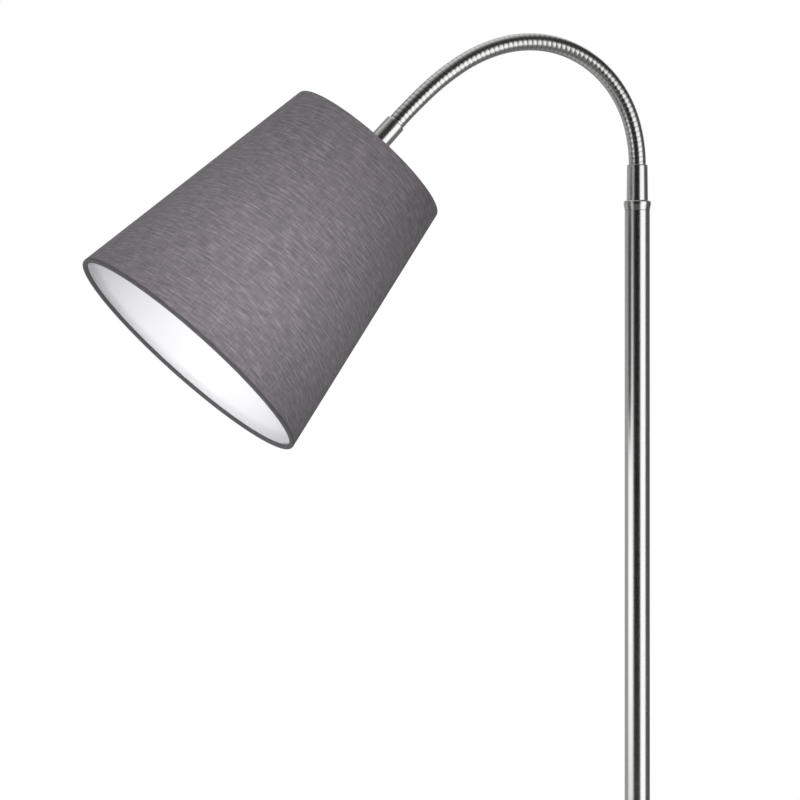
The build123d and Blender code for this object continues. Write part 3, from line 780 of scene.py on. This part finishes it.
black = rubber_finish("black_phenolic", rgb(44, 43, 44), roughness=0.36, grain=0.00001)
ceiling = FERRULE_LENGTH + NIPPLE_REACH
dome_end = FERRULE_LENGTH + CAP_NECK + CAP_DOME
cap = on_head("holder_cap_moulded", rounded([
    (stud_hole, FERRULE_LENGTH, 0), (HOLDER_NECK / 2, FERRULE_LENGTH, 0.0006),
    (HOLDER_NECK / 2, FERRULE_LENGTH + CAP_NECK, 0.0004), (holder_wide, dome_end, 0.0025),
    *steps_between(dome_end + 0.0022, cap_end - 0.0012, holder_wide, 7), (holder_wide, cap_end, 0.0005),
    (holder_inside, cap_end, 0), (holder_inside, ceiling + HOLDER_WALL, 0.001),
    (HOLDER_NECK / 2, ceiling, 0.001), (stud_hole, ceiling, 0),
]), around=GRIP_RIBS * 6, change=grip_ribs(dome_end + 0.003, cap_end - 0.002, holder_wide))
fitted(cap, black, "head", "black_plastic", "lampholder_cap")


def thread(low, high, outer, depth, pitch):
    """A change of radius that cuts a round thread of one start between two heights of a side."""
    def change(radius, height, angle):
        side = np.clip((radius - outer + 0.0006) / 0.0003, 0, 1)
        cut = 1 - np.cos(2 * pi * height / pitch - angle)
        return radius - depth * inside(height, low, high) * side * cut / 2
    return change


threaded = holder_wide - SHELL_THREAD_INSET
thread_ends = flange_end + FADE, shell_end - FADE
shell = on_head("holder_skirt_moulded", rounded([
    (holder_inside, cap_end, 0), (holder_wide, cap_end, 0.0005), (holder_wide, flange_low, 0.0005),
    (FLANGE_DIAMETER / 2, flange_low, 0.0008), (FLANGE_DIAMETER / 2, flange_end, 0.0004),
    (threaded, flange_end, 0.0002), *steps_between(*thread_ends, threaded, 49),
    (threaded, shell_end, 0.0004), (holder_inside, shell_end, 0.0002),
]), around=144, change=thread(*thread_ends, threaded, SHELL_THREAD_DEPTH, SHELL_THREAD))
fitted(shell, black, "head", "black_plastic", "lampholder_shell")


def ceramic_finish():
    """Glazed steatite: creamy white with faint specks under the glaze."""
    finish = Finish("glazed_ceramic")
    place = finish.add("TexCoord", output=3)
    specks = finish.noise(place, 1400.0, 2.0).above(0.66, 0.74)
    tone = finish.colour(specks, rgb(236, 233, 224), rgb(196, 188, 172))
    return finish.surface(Base_Color=tone, Roughness=0.22, Coat_Weight=0.3)


def brass_finish():
    """Rolled brass with fine marks and a slight brown tarnish."""
    finish = Finish("rolled_brass")
    place = finish.add("TexCoord", output=3)
    marks = finish.noise(place, (700.0, 700.0, 3000.0), 3.0)
    tarnish = finish.noise(place, 120.0, 3.0).above(0.5, 0.8)
    tone = finish.colour(tarnish, rgb(214, 186, 120), rgb(158, 124, 76))
    return finish.surface(
        Base_Color=tone, Metallic=1.0, Roughness=0.24 + marks * 0.18, Normal=finish.bump(marks, 0.00002),
    )


brass = brass_finish()
paint_nodes(ceramic_finish(), "lampholder_insert")
paint_nodes(brass, "screw_shell", "centre_contact", "bulb_contact")


# Bulb ---------------------------------------------------
# A screw-in bulb of opal glass: a ball that runs through a narrow neck into a rolled metal screw cap.
BULB_TIP = 0.0586  # along the head's axis, from the upper ferrule's mouth
BULB_CAP_LENGTH = 0.024
BULB_CAP_DIAMETER = 0.0264
BULB_CONTACT_HEIGHT = 0.0025
BULB_DIAMETER = 0.060
BULB_LENGTH = 0.108
BULB_NECK_DIAMETER = 0.030
GLASS = 0.001
BULB_CAP_WALL = 0.0008
BULB_THREAD = 0.0036  # pitch, with the depth next
BULB_THREAD_DEPTH = 0.0006
BULB_CAP_LINES = 0.0004

bulb_low = BULB_TIP + BULB_CAP_LENGTH
bulb_middle = BULB_TIP + BULB_LENGTH - BULB_DIAMETER / 2


def glass_side(inset):
    """Half of the bulb's outline from the top of the ball to the cap: an arc to 35 degrees below the ball's
    middle, then a cubic curve that leaves along the arc and reaches the neck upright."""
    ball = BULB_DIAMETER / 2 - inset
    angle = np.radians(np.linspace(90, -35, 40))
    arc = np.stack([ball * np.cos(angle), bulb_middle + ball * np.sin(angle)], axis=1)
    last = np.array([sin(angle[-1]), -cos(angle[-1])])
    end = np.array([BULB_NECK_DIAMETER / 2 - inset, bulb_low])
    pull = np.linalg.norm(end - arc[-1]) / 3
    corners = [arc[-1], arc[-1] + pull * last, end + pull * np.array([0, 1]), end]
    share = np.linspace(0, 1, 16)[1:, None]
    weights = [(1 - share) ** 3, 3 * share * (1 - share) ** 2, 3 * share ** 2 * (1 - share), share ** 3]
    return np.vstack([arc, sum(weight * corner for weight, corner in zip(weights, corners))])


def opal_finish():
    """Opal glass: milky, glossy, a little uneven in its coating."""
    finish = Finish("opal_glass")
    place = finish.add("TexCoord", output=3)
    cloud = finish.noise(place, 35.0, 2.0)
    tone = finish.colour(cloud, rgb(240, 240, 238), rgb(250, 249, 246))
    return finish.surface(
        Base_Color=tone, Roughness=0.16 + cloud * 0.06, Coat_Weight=0.4, Coat_Roughness=0.05,
    )


globe = on_head("bulb_glass", np.vstack([glass_side(0), glass_side(GLASS)[::-1]]), around=96)
fitted(globe, opal_finish(), "head", "opal_glass", "bulb_globe")

cap_radius = BULB_CAP_DIAMETER / 2
cap_low = BULB_TIP + BULB_CONTACT_HEIGHT
screw_cap = on_head("bulb_screw_cap", rounded([
    (0, cap_low, 0), (cap_radius, cap_low, 0.002),
    *steps_between(cap_low + 0.002, bulb_low - 0.001, cap_radius, 49),
    (cap_radius, bulb_low, 0.0002), (cap_radius - BULB_CAP_WALL, bulb_low, 0.0002),
    (cap_radius - BULB_CAP_WALL, cap_low + BULB_CAP_WALL, 0.001), (0, cap_low + BULB_CAP_WALL, 0),
]), around=96, change=thread(cap_low + 0.003, bulb_low - 0.003, cap_radius, BULB_THREAD_DEPTH, BULB_THREAD))
fitted(screw_cap, zinc_finish("bulb_cap_plate", BULB_CAP_LINES), "head", "zinc_steel", "bulb_cap")


# Shade frame --------------------------------------------
# Steel wire, bent, spot welded and coated white: a flat ring that is clamped on the lampholder, three arms up
# to the ring in the top rim, and a loose ring in the mouth.
SHADE_TOP_DIAMETER = 0.136
SHADE_MOUTH_DIAMETER = 0.206
SHADE_HEIGHT = 0.204
SHADE_START = 0.004
CLOTH = 0.0006
LINING = 0.0005
WIRE = 0.0018
HEM = 0.0027
ARM_KNEE = 0.007
ARM_ROUNDING = 0.004
ARM_LAP = 0.004  # of an arm's foot over the flat ring
FITTER_RING = 0.0015
FITTER_DIAMETER = 0.056

shade_top = FERRULE_LENGTH + SHADE_START
shade_mouth = shade_top + SHADE_HEIGHT
shade_slope = (SHADE_MOUTH_DIAMETER - SHADE_TOP_DIAMETER) / 2 / SHADE_HEIGHT
slant = (1 + shade_slope ** 2) ** 0.5
wire_inset = CLOTH + FIT + LINING + FIT + WIRE / 2


def shade_radius(along, inset):
    """The cone's radius at a distance along the axis, a distance inwards from its outer face."""
    return SHADE_TOP_DIAMETER / 2 + shade_slope * (along - shade_top) - inset * slant


def wire_ring(name, along):
    """A ring of round wire, inside the cone at a distance along the axis."""
    angle = np.linspace(0, 2 * pi, 17)[:-1]
    middle = shade_radius(along, wire_inset)
    section = np.stack([middle + WIRE / 2 * np.cos(angle), along + WIRE / 2 * np.sin(angle)], axis=1)
    return on_head(name, section, around=192)


def wire_arm(name, bearing):
    """One arm in a plane through the axis: a round section carried along a line with a rounded knee, closed
    at both ends. Its points are the line's plus radius x (cos angle x the line's normal in that plane
    + sin angle x the plane's own normal)."""
    knee = shade_top + HEM + ARM_KNEE
    line = rounded([
        (FITTER_DIAMETER / 2 - ARM_LAP, flange_end + FITTER_RING * 0.4, 0),
        (shade_radius(knee, wire_inset), knee, ARM_ROUNDING),
        (shade_radius(top_wire, wire_inset), top_wire, 0),
    ], steps=8)
    line = line[np.argsort(-line[:, 1])]
    way = np.gradient(line, axis=0)
    way /= np.linalg.norm(way, axis=1, keepdims=True)
    ends = np.repeat([0, len(line) - 1], 2)
    order = np.concatenate([ends[:2], np.arange(1, len(line) - 1), ends[2:]])
    size = np.full(len(order), WIRE / 2)
    size[[0, -1]] = 0
    side = np.array([0.0, 1.0, 0.0])
    other = np.cross(head_ahead, side)
    out = cos(bearing) * side + sin(bearing) * other
    around = -sin(bearing) * side + cos(bearing) * other
    angle = np.linspace(0, 2 * pi, 17)
    middle = neck_end + line[order, :1] * out + line[order, 1:] * head_ahead
    normal = -way[order, 1:] * out + way[order, :1] * head_ahead
    turned = np.cos(angle)[:, None] * normal[:, None] + np.sin(angle)[:, None] * around
    points = middle[:, None] + size[:, None, None] * turned
    return skin(name, points, {"turning": points})


def coated_wire():
    """White powder coating: a soft orange-peel surface."""
    finish = Finish("white_coated_wire")
    place = finish.add("TexCoord", output=3)
    peel = finish.noise(place, 900.0, 2.0)
    tone = finish.colour(peel, rgb(228, 228, 226), rgb(240, 240, 238))
    return finish.surface(Base_Color=tone, Roughness=0.38 + peel * 0.1, Normal=finish.bump(peel, 0.00006))


white_wire = coated_wire()
top_wire = shade_top + CLOTH + FIT + WIRE / 2
mouth_wire = shade_mouth - CLOTH - FIT - WIRE / 2
fitted(wire_ring("shade_wire_top", top_wire), white_wire, "head", "white_wire", "shade_frame")
fitted(wire_ring("shade_wire_mouth", mouth_wire), white_wire, "head", "white_wire", "shade_mouth_wire")
fitter_hole = threaded + FIT
fitter = on_head("shade_fitter_ring", rounded([
    (fitter_hole, flange_end, 0.0002), (FITTER_DIAMETER / 2, flange_end, 0.0004),
    (FITTER_DIAMETER / 2, flange_end + FITTER_RING, 0.0004), (fitter_hole, flange_end + FITTER_RING, 0.0002),
]))
fitted(fitter, white_wire, "head", "white_wire", "shade_frame")
for number in range(3):
    arm = wire_arm(f"shade_arm_{number + 1}", radians(120 * number))
    fitted(arm, white_wire, "head", "white_wire", "shade_frame")


# Shade ring nut -----------------------------------------
# Moulded black ring on the skirt's thread, with grip ribs round its edge. It clamps the frame to the flange.
RING_NUT_DIAMETER = 0.052
RING_NUT_HEIGHT = 0.007

nut_low = flange_end + FITTER_RING
nut_high = nut_low + RING_NUT_HEIGHT
nut_rim = RING_NUT_DIAMETER / 2
ring_nut = on_head("shade_ring_moulded", rounded([
    (fitter_hole, nut_low, 0.0003), (nut_rim, nut_low, 0.0005),
    *steps_between(nut_low + 0.0008, nut_high - 0.0012, nut_rim, 7), (nut_rim, nut_high, 0.0010),
    (fitter_hole, nut_high, 0.0005),
]), around=GRIP_RIBS * 6, change=grip_ribs(nut_low + 0.0005, nut_high - 0.0005, nut_rim))
fitted(ring_nut, black, "head", "black_plastic", "shade_ring_nut")


# Shade lining -------------------------------------------
# White plastic sheet that the cloth is laminated to, rolled into a cone.
def lining_finish():
    """Matt white plastic film with a fine pebble and faint broad clouds."""
    finish = Finish("white_lining")
    place = finish.add("TexCoord", output=3)
    pebble = finish.noise(place, 1500.0, 2.0)
    cloud = finish.noise(place, 30.0, 3.0)
    tone = finish.colour(cloud, rgb(236, 236, 240), rgb(243, 243, 246))
    return finish.surface(Base_Color=tone, Roughness=0.5 + pebble * 0.1, Normal=finish.bump(pebble, 0.00004))


skin_inset = CLOTH + FIT
film_inset = skin_inset + LINING
film_low = shade_top + CLOTH + FIT
film_high = shade_mouth - CLOTH - FIT
film = on_head("shade_film", rounded([
    (shade_radius(film_low, film_inset), film_low, 0), (shade_radius(film_low, skin_inset), film_low, 0),
    (shade_radius(film_high, skin_inset), film_high, 0), (shade_radius(film_high, film_inset), film_high, 0),
]), around=192)
fitted(film, lining_finish(), "head", "white_lining", "shade_lining")


# Shade cover --------------------------------------------
# Grey cotton and linen cloth with slubs in its weft, cut as a ring sector, laminated to the lining and folded
# over both wire rings to the inside. Its ends are lapped and glued at the back.
RIM_ROUNDING = 0.0015
FOLD_ROUNDING = 0.0015
PAINTED_RIM_SHADOW = 0.0022  # width of the painted shadow line where the cloth turns over a rim
LAP_WIDTH = 0.009
LAP_RISE = 0.0004
SHADE_AROUND = 256
THREAD = 0.00042  # from one thread to the next

cone_share = shade_slope / slant  # of a full turn that the flat cut takes, the cone's half angle's sine
cut_start = SHADE_TOP_DIAMETER / 2 / cone_share


def flat_place(angle, down):
    """Where a point lay in the flat cut: at its distance from the cone's tip, turned from the middle of the
    front by the angle round the shade x the cone's share of a full turn."""
    turned = (angle - pi) * cone_share
    return np.stack([(cut_start + down) * np.sin(turned), (cut_start + down) * np.cos(turned)], axis=-1)


def cloth_cover():
    """The cover as one closed skin: down the outer face, round the mouth's wire to the hem inside, back
    between the layers, and the same at the top."""
    fold = CLOTH + FIT + LINING + FIT + WIRE + FIT
    top, mouth, layer = shade_top, shade_mouth, CLOTH
    outline = rounded([(shade_radius(along, inset), along, rounding) for along, inset, rounding in (
        (top, 0, RIM_ROUNDING), (mouth, 0, RIM_ROUNDING), (mouth, fold + layer, RIM_ROUNDING),
        (mouth - HEM, fold + layer, layer / 3), (mouth - HEM, fold, layer / 3),
        (mouth - layer, fold, FOLD_ROUNDING), (mouth - layer, layer, FOLD_ROUNDING),
        (top + layer, layer, FOLD_ROUNDING), (top + layer, fold, FOLD_ROUNDING),
        (top + HEM, fold, layer / 3), (top + HEM, fold + layer, layer / 3), (top, fold + layer, RIM_ROUNDING),
    )], steps=7)
    outline = np.vstack([outline, outline[:1]])
    down = np.append(0, np.cumsum(np.linalg.norm(np.diff(outline, axis=0), axis=1)))
    angle, _ = np.meshgrid(np.linspace(0, 2 * pi, SHADE_AROUND + 1), down)
    out = rays(angle, head_ahead)
    points = neck_end + outline[:, 1:, None] * head_ahead + outline[:, :1, None] * out
    return skin("shade_cloth", points, flat=flat_place(angle, down[:, None]))


def cloth_finish():
    """Plain weave: warp and weft threads one over the other, uneven in thickness, with slubs, which are
    thicker or paler lengths of weft, single darker threads, and specks. The low places of the weave are
    painted darker, as painted shade between the threads. The yarn is grey with a little violet, and a
    painted shadow darkens the cloth where it turns over a rim."""
    finish = Finish("grey_slub_cloth")
    flat = finish.add("UVMap", {"uv_map": "flat_cut"})
    wobble = finish.noise(flat, (160.0, 160.0, 1.0), 2.0) * (0.5 * THREAD)
    across = finish.add("SeparateXYZ", None, {0: flat}, output=0) + wobble
    down = finish.add("SeparateXYZ", None, {0: flat}, output=1) + wobble
    warp = (across * (pi / THREAD)).sine()
    weft = (down * (pi / THREAD)).sine()
    weave = warp * weft * 0.5 + 0.5
    slub = finish.noise(flat, (85.0, 620.0, 1.0), 2.0, 0.6)
    thin = finish.noise(flat, (50.0, 1300.0, 1.0), 1.0)
    warps = finish.noise(flat, (640.0, 90.0, 1.0), 2.0)
    specks = finish.noise(flat, (700.0, 700.0, 1.0), 2.0).above(0.62, 0.72)
    cloud = finish.noise(flat, (22.0, 22.0, 1.0), 3.0)
    tone = finish.colour(cloud, rgb(120, 115, 120), rgb(138, 130, 137))
    tone = finish.colour(slub.above(0.52, 0.72) * 0.6, tone, rgb(176, 167, 174))
    tone = finish.colour((1 - slub).above(0.52, 0.72) * 0.6, tone, rgb(86, 83, 88))
    tone = finish.colour(thin.above(0.58, 0.72) * 0.3, tone, rgb(98, 94, 99))
    tone = finish.colour(warps.above(0.54, 0.72) * 0.28, tone, rgb(158, 150, 156))
    tone = finish.colour((1 - warps).above(0.54, 0.72) * 0.28, tone, rgb(94, 91, 96))
    tone = finish.colour(specks * 0.35, tone, rgb(90, 85, 90))
    # Painted shade between the threads: where the weave's bump is low, the colour is darker.
    tone = finish.colour((1 - weave) * 0.22, tone, rgb(86, 83, 88))
    # Painted shadow: a dark band along both rims, where the cloth turns over the wire.
    reach = finish.add("VectorMath", {"operation": "LENGTH"}, {0: flat}, output=1)
    low = cut_start + SHADE_HEIGHT * slant
    mouth_rim_shadow = reach.above(low - PAINTED_RIM_SHADOW, low - PAINTED_RIM_SHADOW / 2)
    rim_shadows = mouth_rim_shadow + (1 - reach.above(cut_start, cut_start + PAINTED_RIM_SHADOW / 2))
    tone = finish.colour(rim_shadows.clamped() * 0.75, tone, rgb(64, 64, 67))
    height = weave * 0.6 + slub * 0.4
    return finish.surface(
        Base_Color=tone, Roughness=0.88 + cloud * 0.08, Sheen_Weight=0.12, Sheen_Roughness=0.5,
        Normal=finish.bump(height, 0.00022),
    )


def cloth_lap():
    """The lapped end of the cloth: a thin closed strip down the back, proud of the cover, its long edges
    thinned off. Section points are (share of the width, share of the rise)."""
    section = np.array([[0, 0], [0.03, 0.8], [0.07, 1], [0.5, 1], [0.9, 1], [1, 0], [0, 0]])
    down = np.linspace(shade_top + 0.001, shade_mouth - 0.001, 60)[:, None]
    down = np.vstack([down[:1], down, down[-1:]])
    rise = np.full(len(down), 1.0)[:, None] * section[:, 1]
    wide = np.full(len(down), 1.0)[:, None] * (section[:, 0] - 0.5)
    rise[[0, -1]] = 0
    radius = shade_radius(down, 0) + rise * LAP_RISE
    angle = wide * LAP_WIDTH / radius
    out = rays(angle, head_ahead)
    points = neck_end + down[..., None] * head_ahead + radius[..., None] * out
    return skin("shade_lap", points, flat=flat_place(angle, (down - shade_top) * slant + 0 * angle))


cloth = cloth_finish()
cover_piece = cloth_cover()
fitted(cover_piece, cloth, "head", "grey_fabric", "shade_fabric")
lap = cloth_lap()
fitted(lap, cloth, "head", "grey_fabric")
cut_end = cut_start + SHADE_HEIGHT * slant + 2 * HEM
half_spread = pi * cone_share
cut_width = 2 * (cut_end + HEM) * sin(half_spread)
cut_length = cut_end + HEM - (cut_start - 2 * HEM) * cos(half_spread)
cut_area = half_spread * (cut_end ** 2 - (cut_start - 2 * HEM) ** 2)
